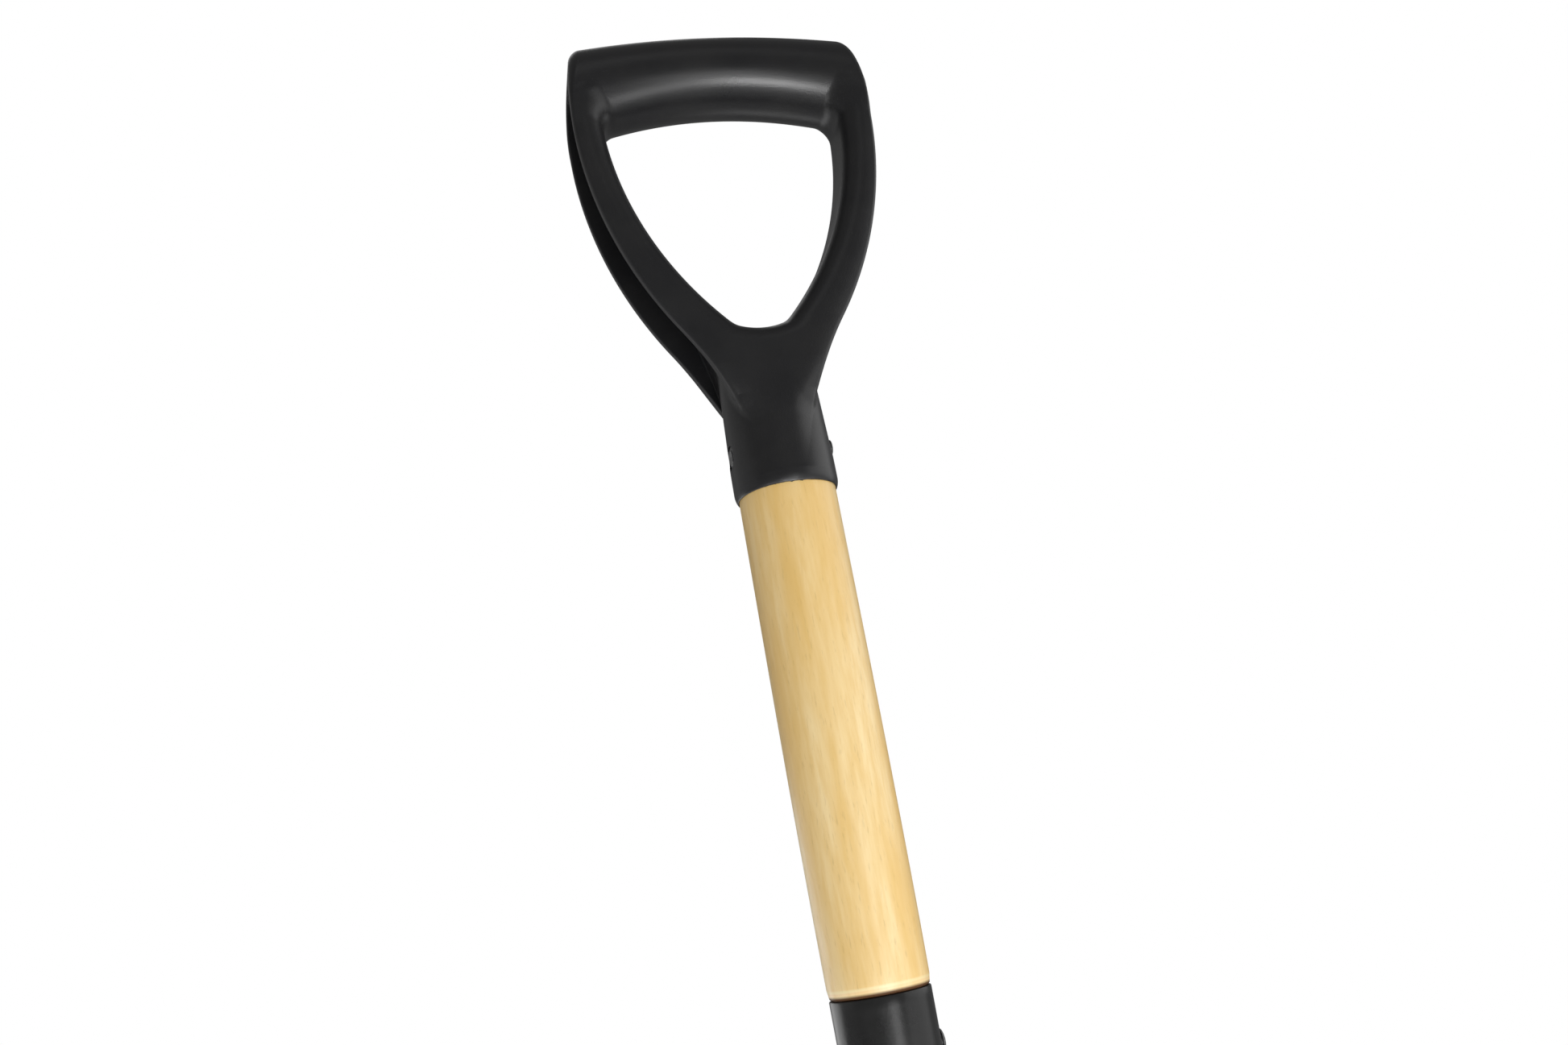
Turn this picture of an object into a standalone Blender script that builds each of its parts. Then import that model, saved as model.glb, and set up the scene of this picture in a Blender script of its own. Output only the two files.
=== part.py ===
"""Garden digging spade: moulded D-handle, turned wooden shaft, tubular socket, blade with treads, rivets.

Units are metres. The shaft axis is the Z axis, the cutting edge lies on z = 0, +Z runs up to the grip,
+X is to the right of someone facing the front of the blade, and the front faces -Y.
"""

import math

import bmesh
import bpy
from mathutils import Vector
from mathutils.geometry import intersect_line_line_2d

GAP = 0.0003                    # clearance left between neighbouring pieces

# Heights on the shaft axis
BLADE_TOP_Z = 0.290
SOCKET_RIM_Z = 0.590
COLLAR_RIM_Z = 0.774

# Moulded D-handle. Heights in this block are measured up from the collar rim.
COLLAR_RIM_R = 0.02015          # radius of the thicker band at the rim
COLLAR_BAND_H = 0.014
COLLAR_BAND_FADE_H = 0.020
COLLAR_R = 0.01985              # half width above the band
COLLAR_TOP = (0.042, 0.0192, 0.0152)        # height, half width and half depth where the dome starts
COLLAR_DOME_H = 0.011
TENON_LENGTH = 0.044
TENON_END_R = 0.0140

NECK_FOOT_H = 0.008             # where the flanges have sunk into the collar
NECK_JOIN_H = 0.0675            # where the neck flare turns into the bow of the arm
NECK_FOOT_HALF_DEPTH = 0.0193
FLANGE_HALF_DEPTH = 0.0144
FLANGE_THICKNESS = 0.0030
BOW_CENTRE = (-0.1084, 0.1633)  # centre of the right arm's outer arc, as (x, height)
BOW_R = 0.1702
FLARE_R = 0.1650
RIM_EDGE_R = 0.0009

WINDOW_CENTRE = (-0.0900, 0.1665)
WINDOW_R = 0.1395
CROTCH_H = 0.0675
CROTCH_R = 0.0262
WINDOW_CORNER_R = 0.0150
WINDOW_TOP_BELOW_GRIP = 0.009   # the opening in the frame ends inside the grip bar, this far below its axis
WINDOW_EDGE_R = 0.0065
WEB_THICKNESS = 0.0038
CHANNEL_FOOT = (0.0160, 0.022)  # lower inner corner of the side channel, as (x, height)
CHANNEL_SHOULDER_H = 0.046
CHANNEL_BEND_H = 0.082
CHANNEL_TOP_H = 0.1665

GRIP_END_X = 0.0610
GRIP_HALF_DEPTH = 0.01757
GRIP_HALF_HEIGHT = 0.01670
GRIP_SWELL = 0.0026             # growth of the half height from the middle to GRIP_ARCH_X
GRIP_EDGE_R = 0.0065
GRIP_CENTRE_H = 0.1804          # at GRIP_ARCH_X from the middle
GRIP_ARCH_RISE = 0.0080
GRIP_ARCH_X = 0.055
GRIP_BACK_BOW = 0.0026

# Wooden shaft
SHAFT_R = 0.01885
SHAFT_MID_R = 0.01900
SHAFT_LOW_R = 0.01825
SHAFT_SHOULDER_R = 0.01775
SHAFT_CHAMFER = 0.0030

# Tubular steel socket, flattened at its foot into a tongue that laps the blade
SOCKET_RIM_R = 0.01820
SOCKET_WALL = 0.0012
SOCKET_ROUND_FOOT_Z = 0.345
SOCKET_ROUND_FOOT_R = 0.0155
SOCKET_BORE_END_Z = 0.340
TONGUE_HALF_WIDTH = 0.0210
TONGUE_THICKNESS = 0.0045
TONGUE_TIP_Z = 0.205

# Pressed steel blade and its welded foot treads
BLADE_TOP_HALF_WIDTH = 0.095
BLADE_EDGE_HALF_WIDTH = 0.083
BLADE_CORNER_R = 0.012
BLADE_THICKNESS = 0.0020
BLADE_FRONT_Y = 0.0022          # front surface on the centre line, at the top
BLADE_LIFT = 0.0080             # how far the cutting edge comes forward of the top
BLADE_DISH = 0.0060             # how far the sides come forward of the middle
BLADE_FLAT_HALF_WIDTH = 0.026
TREAD_INNER_X = 0.027
TREAD_OUTER_X = 0.092
TREAD_DEPTH = 0.018
TREAD_THICKNESS = 0.0030

# Rivets run along X through the middle of the shaft
RIVET_R = 0.0025
RIVET_HEAD_R = 0.0042
RIVET_HEAD_H = 0.0012
HANDLE_RIVET_HEAD_R = 0.0032
HANDLE_RIVET_HEAD_H = 0.0008
HANDLE_PEEN_R = 0.0030          # the hammered end on the washer, low enough to stay inside the recess
HANDLE_PEEN_H = 0.0004
HANDLE_RIVET_Z = COLLAR_RIM_Z + 0.0178
SOCKET_RIVET_Z = {"socket_rivet_upper": 0.5705, "socket_rivet_lower": 0.505}
WASHER_R = 0.0043
WASHER_THICKNESS = 0.0004
SPOT_FACE_R = 0.0049            # flat recess in the left of the collar, where the washer sits
SPOT_FACE_X = 0.0184

ROUND_STEPS = 40
RIVET_STEPS = 20


def clear_scene():
    for obj in list(bpy.data.objects):
        bpy.data.objects.remove(obj, do_unlink=True)


def make_material(name, colour, roughness, metallic=0.0):
    material = bpy.data.materials.new(name)
    material.use_nodes = True
    shader = material.node_tree.nodes["Principled BSDF"]
    shader.inputs["Base Color"].default_value = (*colour, 1.0)
    shader.inputs["Roughness"].default_value = roughness
    shader.inputs["Metallic"].default_value = metallic
    return material


def add_object(name, bm, material=None, smooth_angle=35):
    """An object from a bmesh, its faces turned outwards. With no material it is a helper for a Boolean."""
    bmesh.ops.recalc_face_normals(bm, faces=bm.faces)
    mesh = bpy.data.meshes.new(name)
    bm.to_mesh(mesh)
    bm.free()
    obj = bpy.data.objects.new(name, mesh)
    bpy.context.collection.objects.link(obj)
    if material is None:
        obj.hide_render = True
        obj.display_type = "WIRE"
        return obj
    mesh.materials.append(material)
    mesh.shade_smooth()
    mesh.set_sharp_from_angle(angle=math.radians(smooth_angle))
    return obj


def add_boolean(obj, helper, operation):
    modifier = obj.modifiers.new(f"{operation.lower()} {helper.name}", "BOOLEAN")
    modifier.operation = operation
    modifier.solver = "EXACT"
    modifier.object = helper


def loft(bm, rings):
    """Skin a list of rings, each a closed list of points, and cap both ends."""
    loops = [[bm.verts.new(point) for point in ring] for ring in rings]
    for lower, upper in zip(loops, loops[1:]):
        for i in range(len(lower)):
            j = (i + 1) % len(lower)
            bm.faces.new((lower[i], lower[j], upper[j], upper[i]))
    bm.faces.new(loops[0])
    bm.faces.new(loops[-1])


def ring_xy(z, half_x, half_y, mid_y=0.0, power=2.0, steps=ROUND_STEPS):
    """A level ring: an ellipse for power 2, closer to a rounded bar for a higher power."""
    points = []
    for i in range(steps):
        angle = 2 * math.pi * i / steps
        c, s = math.cos(angle), math.sin(angle)
        x = half_x * math.copysign(abs(c) ** (2 / power), c)
        y = half_y * math.copysign(abs(s) ** (2 / power), s)
        points.append(Vector((x, mid_y + y, z)))
    return points


def ring_yz(x, half_y, half_z, mid_y=0.0, mid_z=0.0, steps=RIVET_STEPS):
    """An upright ring across the X axis. Its corners stay off the level and upright planes through X."""
    angles = [2 * math.pi * (i + 0.5) / steps for i in range(steps)]
    return [Vector((x, mid_y + half_y * math.cos(a), mid_z + half_z * math.sin(a))) for a in angles]


def turned(profile, steps=ROUND_STEPS):
    """A bmesh turned about the Z axis from (radius, z) points."""
    bm = bmesh.new()
    loft(bm, [ring_xy(z, radius, radius, steps=steps) for radius, z in profile])
    return bm


def arc(centre, radius, start, end, count):
    """Points of an arc in the XZ plane, both ends included. Angles are in radians from +X towards +Z."""
    angles = [start + (end - start) * i / (count - 1) for i in range(count)]
    return [(centre[0] + radius * math.cos(a), centre[1] + radius * math.sin(a)) for a in angles]


def angle_at_height(centre, radius, height):
    """The angle at which the right side of a circle in the XZ plane reaches a height."""
    return math.asin((height - centre[1]) / radius)


# ---- D-handle ----------------------------------------------------------------------------------------

def grip_centre_height(x):
    return GRIP_CENTRE_H + GRIP_ARCH_RISE * (1 - (x / GRIP_ARCH_X) ** 2)


def neck_half_depth(height):
    """Half depth of the flanges: even along the arms, growing down the neck until it meets the collar."""
    if height >= NECK_JOIN_H:
        return FLANGE_HALF_DEPTH
    share = (NECK_JOIN_H - height) / (NECK_JOIN_H - NECK_FOOT_H)
    return FLANGE_HALF_DEPTH + (NECK_FOOT_HALF_DEPTH - FLANGE_HALF_DEPTH) * share


def arm_outer_side(count_flare=7, count_bow=11):
    """Right outer outline, foot to top: an arc flaring out of the collar, then the bow of the arm."""
    join = angle_at_height(BOW_CENTRE, BOW_R, NECK_JOIN_H)
    reach = BOW_R + FLARE_R
    flare_centre = (BOW_CENTRE[0] + reach * math.cos(join), BOW_CENTRE[1] + reach * math.sin(join))
    foot = math.pi - math.asin((NECK_FOOT_H - flare_centre[1]) / FLARE_R)
    flare = arc(flare_centre, FLARE_R, foot, join + math.pi, count_flare)
    top = angle_at_height(BOW_CENTRE, BOW_R, GRIP_CENTRE_H)
    return flare[:-1] + arc(BOW_CENTRE, BOW_R, join, top, count_bow)


def spoke(centre, radius, angle, outline):
    """A pair of points on a ray: where it leaves the opening's arc, and where it meets the outer outline."""
    direction = Vector((math.cos(angle), math.sin(angle)))
    start = Vector(centre)
    inner = start + direction * radius
    far = start + direction
    for a, b in zip(outline, outline[1:]):
        hit = intersect_line_line_2d(inner, far, Vector(a), Vector(b))
        if hit:
            return tuple(inner), tuple(hit)
    raise ValueError("the ray misses the outline")


def arm_spokes():
    """Spokes across the right half of the frame, from the foot of the neck round to the middle of the grip."""
    sides = arm_outer_side()
    foot = sides[0]
    top = [(x, grip_centre_height(x)) for x in (0.045, 0.030, 0.015, -0.001)]
    outline = [(-0.001, NECK_FOOT_H), *sides, *top]
    crotch_centre = (0.0, CROTCH_H + CROTCH_R)
    # The window's side arc touches the crotch arc where both have the same normal.
    lean = math.asin((crotch_centre[1] - WINDOW_CENTRE[1]) / (WINDOW_R - CROTCH_R))
    foot_corner = math.atan2(foot[1] - crotch_centre[1], foot[0])
    fan = [-math.pi / 2, foot_corner]
    fan += [foot_corner + (lean - foot_corner) * i / 5 for i in range(1, 6)]
    spokes = [spoke(crotch_centre, CROTCH_R, angle, outline) for angle in fan]
    corner_h = grip_centre_height(0.6 * GRIP_END_X) - WINDOW_TOP_BELOW_GRIP - WINDOW_CORNER_R
    side_end = angle_at_height(WINDOW_CENTRE, WINDOW_R, corner_h)
    angles = [lean + (side_end - lean) * i / 12 for i in range(1, 13)]
    spokes += [spoke(WINDOW_CENTRE, WINDOW_R, angle, outline) for angle in angles]
    corner_centre = (spokes[-1][0][0] - WINDOW_CORNER_R, corner_h)
    angles = [math.pi / 2 * i / 4 for i in range(1, 5)]
    spokes += [spoke(corner_centre, WINDOW_CORNER_R, angle, outline) for angle in angles]
    middle = grip_centre_height(0.0)
    spokes.append(((0.0, middle - WINDOW_TOP_BELOW_GRIP), (0.0, middle)))
    return spokes


def arm_frame():
    """The neck and both arms as one plate with the hand opening, rounded into the opening."""
    spokes = arm_spokes()
    spokes += [((-a[0], a[1]), (-b[0], b[1])) for a, b in reversed(spokes[1:-1])]
    bm = bmesh.new()
    inner = []
    outer = []
    for points, layer in (([a for a, _ in spokes], inner), ([b for _, b in spokes], outer)):
        for y in (-FLANGE_HALF_DEPTH, FLANGE_HALF_DEPTH):
            layer.append([bm.verts.new((x, y, h)) for x, h in points])
    for i in range(len(spokes)):
        j = (i + 1) % len(spokes)
        around = (inner[0], outer[0], outer[1], inner[1])
        for a, b in zip(around, around[1:] + around[:1]):
            bm.faces.new((a[i], a[j], b[j], b[i]))
    for rings, radius, segments in ((inner, WINDOW_EDGE_R, 3), (outer, RIM_EDGE_R, 1)):
        edges = []
        for ring in rings:
            corners = set(ring)
            edges += [e for e in bm.edges if e.verts[0] in corners and e.verts[1] in corners]
        bmesh.ops.bevel(bm, geom=edges, offset=radius, segments=segments, profile=0.5, affect="EDGES")
    for vert in bm.verts:
        vert.co.y *= neck_half_depth(vert.co.z) / FLANGE_HALF_DEPTH
        vert.co.z += COLLAR_RIM_Z
    return bm


def side_channel(side):
    """Cutter for the open channel between the flanges of one arm, side +1 right or -1 left."""
    web_r = WINDOW_R + WEB_THICKNESS
    start = angle_at_height(WINDOW_CENTRE, web_r, CHANNEL_BEND_H)
    top = angle_at_height(WINDOW_CENTRE, web_r, CHANNEL_TOP_H)
    web = [CHANNEL_FOOT, (CHANNEL_FOOT[0] + 0.0005, CHANNEL_SHOULDER_H)]
    web += arc(WINDOW_CENTRE, web_r, start, top, 9)
    outside = 1.3 * GRIP_END_X
    outline = web + [(outside, CHANNEL_TOP_H), (outside, CHANNEL_FOOT[1])]
    depth = FLANGE_HALF_DEPTH - FLANGE_THICKNESS
    bm = bmesh.new()
    loft(bm, [[Vector((side * x, y, COLLAR_RIM_Z + h)) for x, h in outline] for y in (-depth, depth)])
    return bm


def grip_bar(steps=28, stations=9):
    """The arched bar, with rounded ends."""
    edge = [math.pi / 2 * i / 3 for i in range(3)]
    ends = [(GRIP_END_X - GRIP_EDGE_R * (1 - math.cos(a)), GRIP_EDGE_R * (1 - math.sin(a))) for a in edge]
    straight = GRIP_END_X - GRIP_EDGE_R
    middle = [(straight - 2 * straight * i / (stations - 1), 0.0) for i in range(stations)]
    sections = ends + middle + [(-x, inset) for x, inset in reversed(ends)]
    rings = []
    for x, inset in sections:
        back = GRIP_BACK_BOW * (1 - (x / GRIP_END_X) ** 2)
        height = COLLAR_RIM_Z + grip_centre_height(x)
        half_height = GRIP_HALF_HEIGHT + GRIP_SWELL * (x / GRIP_ARCH_X) ** 2
        rings.append(ring_yz(x, GRIP_HALF_DEPTH - inset, half_height - inset, back, height, steps))
    bm = bmesh.new()
    loft(bm, rings)
    return bm


def collar_half_width(height):
    """Half width of the collar: a band at the rim, then a slow taper up to the dome."""
    if height <= COLLAR_BAND_H:
        return COLLAR_RIM_R
    if height <= COLLAR_BAND_FADE_H:
        share = (height - COLLAR_BAND_H) / (COLLAR_BAND_FADE_H - COLLAR_BAND_H)
        return COLLAR_RIM_R + (COLLAR_R - COLLAR_RIM_R) * share
    share = (height - COLLAR_BAND_FADE_H) / (COLLAR_TOP[0] - COLLAR_BAND_FADE_H)
    return COLLAR_R + (COLLAR_TOP[1] - COLLAR_R) * share


def collar():
    """The tapered collar with its domed end between the flanges."""
    top_h, top_x, top_y = COLLAR_TOP
    rings = []
    for height in (0.0, COLLAR_BAND_H, COLLAR_BAND_FADE_H, 0.75 * top_h, top_h):
        half_y = COLLAR_RIM_R + (top_y - COLLAR_RIM_R) * height / top_h
        rings.append(ring_xy(COLLAR_RIM_Z + height, collar_half_width(height), half_y))
    for angle in (0.4, 0.8, 1.15, 1.4):
        size = math.cos(angle)
        height = COLLAR_RIM_Z + top_h + COLLAR_DOME_H * math.sin(angle)
        rings.append(ring_xy(height, top_x * size, top_y * size))
    bm = bmesh.new()
    loft(bm, rings)
    return bm


def tenon_profile(clearance):
    """The tapered fit of the shaft in the collar, as (radius, z), rim first."""
    return [
        (SHAFT_R + clearance, COLLAR_RIM_Z),
        (TENON_END_R + clearance, COLLAR_RIM_Z + TENON_LENGTH + clearance),
    ]


def collar_bore():
    rim, end = tenon_profile(GAP)
    slope = (rim[0] - end[0]) / (end[1] - rim[1])
    start = COLLAR_RIM_Z - 0.004
    return turned([(rim[0] + slope * (rim[1] - start), start), end])


def pin_along_x(z, radius, start_x, end_x):
    """A plain cylinder along X, for drills and washers."""
    bm = bmesh.new()
    loft(bm, [ring_yz(x, radius, radius, mid_z=z) for x in (start_x, end_x)])
    return bm


def build_handle(material, drill):
    handle = add_object("d_handle", arm_frame(), material)
    for side, word in ((1, "right"), (-1, "left")):
        add_boolean(handle, add_object(f"cut_channel_{word}", side_channel(side)), "DIFFERENCE")
    add_boolean(handle, add_object("add_grip", grip_bar()), "UNION")
    add_boolean(handle, add_object("add_collar", collar()), "UNION")
    add_boolean(handle, add_object("cut_collar_bore", collar_bore()), "DIFFERENCE")
    add_boolean(handle, drill, "DIFFERENCE")
    spot = pin_along_x(HANDLE_RIVET_Z, SPOT_FACE_R, -1.5 * COLLAR_RIM_R, -SPOT_FACE_X)
    add_boolean(handle, add_object("cut_spot_face", spot), "DIFFERENCE")


# ---- shaft and socket --------------------------------------------------------------------------------

def socket_radius(z):
    """Outer radius of the round part of the socket."""
    share = (SOCKET_RIM_Z - z) / (SOCKET_RIM_Z - SOCKET_ROUND_FOOT_Z)
    return SOCKET_RIM_R + (SOCKET_ROUND_FOOT_R - SOCKET_RIM_R) * share


def build_shaft(material, drills):
    inner = SOCKET_WALL + GAP
    foot = SOCKET_BORE_END_Z + GAP
    shoulder = SOCKET_RIM_Z + GAP
    visible = COLLAR_RIM_Z - SOCKET_RIM_Z
    profile = [
        (socket_radius(foot) - inner - 0.002, foot),
        (socket_radius(foot) - inner, foot + 0.004),
        (SOCKET_RIM_R - inner, shoulder),
        (SHAFT_SHOULDER_R, shoulder),
        (SHAFT_LOW_R, shoulder + SHAFT_CHAMFER),
        (SHAFT_MID_R, SOCKET_RIM_Z + 0.45 * visible),
        *tenon_profile(0.0),
    ]
    shaft = add_object("shaft", turned(profile), material)
    for drill in drills:
        add_boolean(shaft, drill, "DIFFERENCE")
    return shaft


def blade_front_y(x, z):
    """The blade's front surface: flat down the middle, dished at the sides, curving forward to its edge."""
    lift = BLADE_LIFT * (1 - z / BLADE_TOP_Z) ** 2
    side = max(0.0, abs(x) - BLADE_FLAT_HALF_WIDTH) / (BLADE_TOP_HALF_WIDTH - BLADE_FLAT_HALF_WIDTH)
    return BLADE_FRONT_Y - lift - BLADE_DISH * side ** 2


def socket_rings(steps=36):
    """Rings from the tip of the tongue up to the rim. The tube flattens against the front of the blade."""
    tongue = BLADE_TOP_Z + TREAD_THICKNESS
    rings = []
    for width, z in ((0.30, TONGUE_TIP_Z), (0.62, TONGUE_TIP_Z + 0.004), (0.86, TONGUE_TIP_Z + 0.014),
                     (1.0, TONGUE_TIP_Z + 0.040), (1.0, tongue)):
        back = blade_front_y(0.0, z) - GAP
        thickness = TONGUE_THICKNESS * (1.0 if z > TONGUE_TIP_Z + 0.01 else 0.7)
        half_x = TONGUE_HALF_WIDTH * width
        rings.append(ring_xy(z, half_x, thickness / 2, back - thickness / 2, 3.5, steps))
    rise = SOCKET_ROUND_FOOT_Z - tongue
    flat_back = blade_front_y(0.0, BLADE_TOP_Z) - GAP
    for i in range(1, 7):
        share = i / 6
        ease = share * share * (3 - 2 * share)
        half_x = TONGUE_HALF_WIDTH + (SOCKET_ROUND_FOOT_R - TONGUE_HALF_WIDTH) * ease
        back = flat_back + (SOCKET_ROUND_FOOT_R - flat_back) * ease
        front = flat_back - TONGUE_THICKNESS
        front += (-SOCKET_ROUND_FOOT_R - front) * math.sin(share * math.pi / 2)
        power = 3.5 - 1.5 * ease
        rings.append(ring_xy(tongue + rise * share, half_x, (back - front) / 2, (back + front) / 2, power, steps))
    rings.append(ring_xy(SOCKET_RIM_Z, SOCKET_RIM_R, SOCKET_RIM_R, steps=steps))
    return rings


def socket_bore():
    end = socket_radius(SOCKET_BORE_END_Z) - SOCKET_WALL
    over = 0.004
    slope = (SOCKET_RIM_R - SOCKET_WALL - end) / (SOCKET_RIM_Z - SOCKET_BORE_END_Z)
    return turned([(end, SOCKET_BORE_END_Z), (SOCKET_RIM_R - SOCKET_WALL + slope * over, SOCKET_RIM_Z + over)], 36)


def build_socket(material, drills):
    bm = bmesh.new()
    loft(bm, socket_rings())
    socket = add_object("socket", bm, material)
    add_boolean(socket, add_object("cut_socket_bore", socket_bore()), "DIFFERENCE")
    for drill in drills:
        add_boolean(socket, drill, "DIFFERENCE")
    return socket


# ---- blade and treads --------------------------------------------------------------------------------

def blade_half_width(z):
    """Half width of the blade: it narrows to the cutting edge and has rounded lower corners."""
    width = BLADE_EDGE_HALF_WIDTH + (BLADE_TOP_HALF_WIDTH - BLADE_EDGE_HALF_WIDTH) * z / BLADE_TOP_Z
    if z >= BLADE_CORNER_R:
        return width
    return width - BLADE_CORNER_R + math.sqrt(BLADE_CORNER_R ** 2 - (BLADE_CORNER_R - z) ** 2)


def build_blade(material, columns=14, rows=8):
    corner = [BLADE_CORNER_R * (1 - math.cos(math.pi / 2 * i / 3)) for i in range(3)]
    heights = corner + [BLADE_CORNER_R + (BLADE_TOP_Z - BLADE_CORNER_R) * i / rows for i in range(rows + 1)]
    bm = bmesh.new()
    layers = []
    for offset in (0.0, BLADE_THICKNESS):
        grid = []
        for z in heights:
            half = blade_half_width(z)
            row = [half * (2 * i / columns - 1) for i in range(columns + 1)]
            grid.append([bm.verts.new((x, blade_front_y(x, z) + offset, z)) for x in row])
        layers.append(grid)
    front, back = layers
    last = len(heights) - 1
    for r in range(last):
        for c in range(columns):
            bm.faces.new((front[r][c], front[r][c + 1], front[r + 1][c + 1], front[r + 1][c]))
            bm.faces.new((back[r][c + 1], back[r][c], back[r + 1][c], back[r + 1][c + 1]))
        for c in (0, columns):
            bm.faces.new((front[r][c], front[r + 1][c], back[r + 1][c], back[r][c]))
    for c in range(columns):
        for r in (0, last):
            bm.faces.new((front[r][c], front[r][c + 1], back[r][c + 1], back[r][c]))
    return add_object("blade", bm, material)


def build_tread(name, side, material):
    """A flat bar on the shoulder of the blade, its top flat for the foot."""
    centre = Vector((side * (TREAD_INNER_X + TREAD_OUTER_X) / 2, 0.0, 0.0))
    size = Vector((TREAD_OUTER_X - TREAD_INNER_X, TREAD_DEPTH, TREAD_THICKNESS))
    bm = bmesh.new()
    bmesh.ops.create_cube(bm, size=1.0)
    for vert in bm.verts:
        vert.co = Vector(a * b for a, b in zip(vert.co, size)) + centre
    upright = [e for e in bm.edges if abs(e.verts[0].co.z - e.verts[1].co.z) > TREAD_THICKNESS / 2]
    bmesh.ops.bevel(bm, geom=upright, offset=0.004, segments=3, profile=0.5, affect="EDGES")
    tread = add_object(name, bm, material)
    tread.location.z = BLADE_TOP_Z + GAP + TREAD_THICKNESS / 2
    return tread


# ---- rivets ------------------------------------------------------------------------------------------

def rivet_head(seat, radius, height):
    """Sections of a domed head as (distance from the shaft axis, radius), underside first."""
    dome = ((1.0, 0.0), (0.96, 0.45), (0.75, 0.82), (0.35, 1.0))
    return [(seat + height * rise, radius * size) for size, rise in dome]


def rivet(right_head, left_head):
    """A rivet along X from the sections of its two heads."""
    left = [(-x, radius) for x, radius in reversed(left_head)]
    sections = left + [(left[-1][0], RIVET_R), (right_head[0][0], RIVET_R)] + right_head
    bm = bmesh.new()
    loft(bm, [ring_yz(x, radius, radius) for x, radius in sections])
    return bm


def build_handle_rivet(material):
    """The rivet through the collar: a head on the right, and on the left a washer under the peened end."""
    washer_seat = SPOT_FACE_X + GAP
    washer_top = washer_seat + WASHER_THICKNESS
    seat_height = HANDLE_RIVET_Z - HANDLE_RIVET_HEAD_R - COLLAR_RIM_Z
    right_seat = collar_half_width(seat_height) + GAP
    right_head = rivet_head(right_seat, HANDLE_RIVET_HEAD_R, HANDLE_RIVET_HEAD_H)
    left_head = rivet_head(washer_top + GAP, HANDLE_PEEN_R, HANDLE_PEEN_H)
    piece = add_object("handle_rivet", rivet(right_head, left_head), material)
    piece.location.z = HANDLE_RIVET_Z
    disc = pin_along_x(HANDLE_RIVET_Z, WASHER_R, -washer_top, -washer_seat)
    washer = add_object("handle_rivet_washer", disc, material)
    hole = pin_along_x(HANDLE_RIVET_Z, RIVET_R + GAP, -2 * washer_top, 0.0)
    add_boolean(washer, add_object("cut_washer_hole", hole), "DIFFERENCE")


def build_socket_rivet(name, z, material):
    head = rivet_head(socket_radius(z) + GAP, RIVET_HEAD_R, RIVET_HEAD_H)
    piece = add_object(name, rivet(head, head), material)
    piece.location.z = z


def main():
    clear_scene()
    plastic = make_material("handle_plastic", (0.020, 0.020, 0.022), 0.42)
    wood = make_material("shaft_wood", (0.78, 0.57, 0.31), 0.45)
    steel = make_material("head_paint", (0.022, 0.022, 0.024), 0.38)
    rivets = make_material("rivet_paint", (0.18, 0.18, 0.18), 0.42, 0.35)

    hole_r = RIVET_R + GAP
    reach = 1.5 * COLLAR_RIM_R
    handle_drill = add_object("drill_handle_rivet", pin_along_x(HANDLE_RIVET_Z, hole_r, -reach, reach))
    socket_drills = [
        add_object(f"drill_{name}", pin_along_x(z, hole_r, -reach, reach)) for name, z in SOCKET_RIVET_Z.items()
    ]
    build_handle(plastic, handle_drill)
    build_shaft(wood, [handle_drill, *socket_drills])
    build_socket(steel, socket_drills)
    build_blade(steel)
    build_tread("tread_left", -1, steel)
    build_tread("tread_right", 1, steel)
    build_handle_rivet(rivets)
    for name, z in SOCKET_RIVET_Z.items():
        build_socket_rivet(name, z, rivets)


main()
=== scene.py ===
import math

import bmesh
import bpy
import numpy as np
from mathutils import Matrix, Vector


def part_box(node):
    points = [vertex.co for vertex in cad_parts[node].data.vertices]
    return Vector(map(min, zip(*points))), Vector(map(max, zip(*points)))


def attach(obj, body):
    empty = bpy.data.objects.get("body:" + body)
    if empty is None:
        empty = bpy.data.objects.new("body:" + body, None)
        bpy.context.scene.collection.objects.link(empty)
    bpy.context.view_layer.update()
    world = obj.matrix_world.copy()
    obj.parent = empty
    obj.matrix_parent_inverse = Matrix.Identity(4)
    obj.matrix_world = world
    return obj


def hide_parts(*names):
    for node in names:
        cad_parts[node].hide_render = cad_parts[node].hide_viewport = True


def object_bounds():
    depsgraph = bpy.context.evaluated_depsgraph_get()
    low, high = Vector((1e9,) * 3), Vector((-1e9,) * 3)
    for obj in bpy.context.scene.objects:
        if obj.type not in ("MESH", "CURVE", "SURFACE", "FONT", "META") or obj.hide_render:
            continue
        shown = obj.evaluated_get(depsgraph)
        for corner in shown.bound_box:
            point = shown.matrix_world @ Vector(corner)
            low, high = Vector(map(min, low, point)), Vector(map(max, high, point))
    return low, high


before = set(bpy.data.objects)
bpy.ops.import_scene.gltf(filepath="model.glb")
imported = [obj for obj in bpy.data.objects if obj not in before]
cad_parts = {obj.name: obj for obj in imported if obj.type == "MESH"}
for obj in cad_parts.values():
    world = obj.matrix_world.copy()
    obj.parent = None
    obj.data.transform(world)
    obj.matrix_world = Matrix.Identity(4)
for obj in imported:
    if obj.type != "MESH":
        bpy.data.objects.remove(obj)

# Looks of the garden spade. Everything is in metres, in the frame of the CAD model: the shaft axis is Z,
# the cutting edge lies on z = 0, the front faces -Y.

import openvdb
from mathutils import Matrix, Vector

CAD_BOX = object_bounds()

# Heights and centres read from the CAD nodes
RIM_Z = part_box("d_handle")[0].z
SOCKET_RIM_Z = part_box("socket")[1].z
TONGUE_TIP_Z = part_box("socket")[0].z
BLADE_TOP_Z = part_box("blade")[1].z
GAP = 0.0003                    # clearance between neighbouring pieces


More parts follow.
